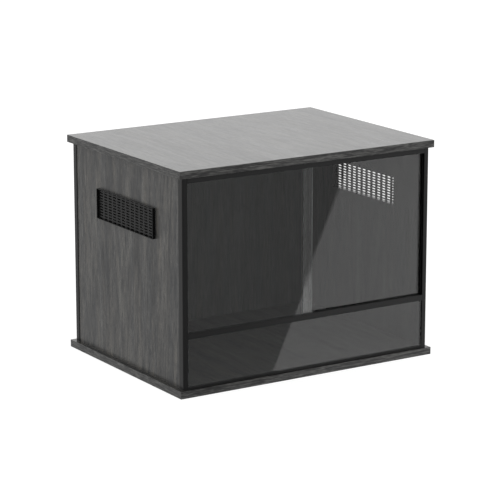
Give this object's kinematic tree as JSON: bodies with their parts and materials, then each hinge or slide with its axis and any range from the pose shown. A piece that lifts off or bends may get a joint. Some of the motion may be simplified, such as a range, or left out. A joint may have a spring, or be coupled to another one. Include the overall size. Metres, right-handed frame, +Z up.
{
  "type": "terrarium cabinet",
  "caption": "Woodgrain terrarium cabinet with sliding glass doors over a fixed kick glass, black post and track profiles and slotted side vents.",
  "frame": {"origin": "centre of the base board's underside, on the surface that the cabinet stands on", "axes": "+X along the width, towards the right door; +Y to the back; +Z up; the doors face -Y"},
  "size_m": [0.6, 0.45, 0.45],
  "materials": {
    "woodgrain_board": "dark grey woodgrain foil on board, satin",
    "woodgrain_banding": "dark grey woodgrain edge banding, satin",
    "black_profile": "black extruded profile, satin gloss",
    "glass": "clear float glass with ground edges",
    "vent_plastic": "black moulding, satin",
    "wood_dowel": "plain beech",
    "zinc_steel": "bright zinc plate"
  },
  "bodies": {
    "cabinet": {"top_panel": "woodgrain_board", "base_panel": "woodgrain_board", "floor_panel": "woodgrain_board", "left_side_panel": "woodgrain_board", "right_side_panel": "woodgrain_board", "back_panel": "woodgrain_board", "top_band_front": "woodgrain_banding", "top_band_back": "woodgrain_banding", "top_band_left": "woodgrain_banding", "top_band_right": "woodgrain_banding", "base_band_front": "woodgrain_banding", "base_band_back": "woodgrain_banding", "base_band_left": "woodgrain_banding", "base_band_right": "woodgrain_banding", "front_left_post": "black_profile", "front_right_post": "black_profile", "back_left_post": "black_profile", "back_right_post": "black_profile", "top_rail": "black_profile", "middle_rail": "black_profile", "bottom_rail": "black_profile", "left_rail_peg": "black_profile", "right_rail_peg": "black_profile", "kick_glass": "glass", "left_vent": "vent_plastic", "right_vent": "vent_plastic", "left_top_dowel_1": "wood_dowel", "left_top_dowel_2": "wood_dowel", "right_top_dowel_1": "wood_dowel", "right_top_dowel_2": "wood_dowel", "back_top_dowel_1": "wood_dowel", "back_top_dowel_2": "wood_dowel", "back_top_dowel_3": "wood_dowel", "left_base_screw_1": "zinc_steel", "left_base_screw_2": "zinc_steel", "right_base_screw_1": "zinc_steel", "right_base_screw_2": "zinc_steel", "back_base_screw_1": "zinc_steel", "back_base_screw_2": "zinc_steel", "back_base_screw_3": "zinc_steel", "top_rail_screw_1": "zinc_steel", "top_rail_screw_2": "zinc_steel", "top_rail_screw_3": "zinc_steel", "bottom_rail_screw_1": "zinc_steel", "bottom_rail_screw_2": "zinc_steel", "bottom_rail_screw_3": "zinc_steel"},
    "left_door": {"left_door_glass": "glass"},
    "right_door": {"right_door_glass": "glass"}
  },
  "joints": [
    {"name": "left_door_slide", "type": "slide", "parent": "cabinet", "child": "left_door", "axis": [1, 0, 0], "range_m": [0, 0.279]},
    {"name": "right_door_slide", "type": "slide", "parent": "cabinet", "child": "right_door", "axis": [1, 0, 0], "range_m": [-0.279, 0]}
  ]
}
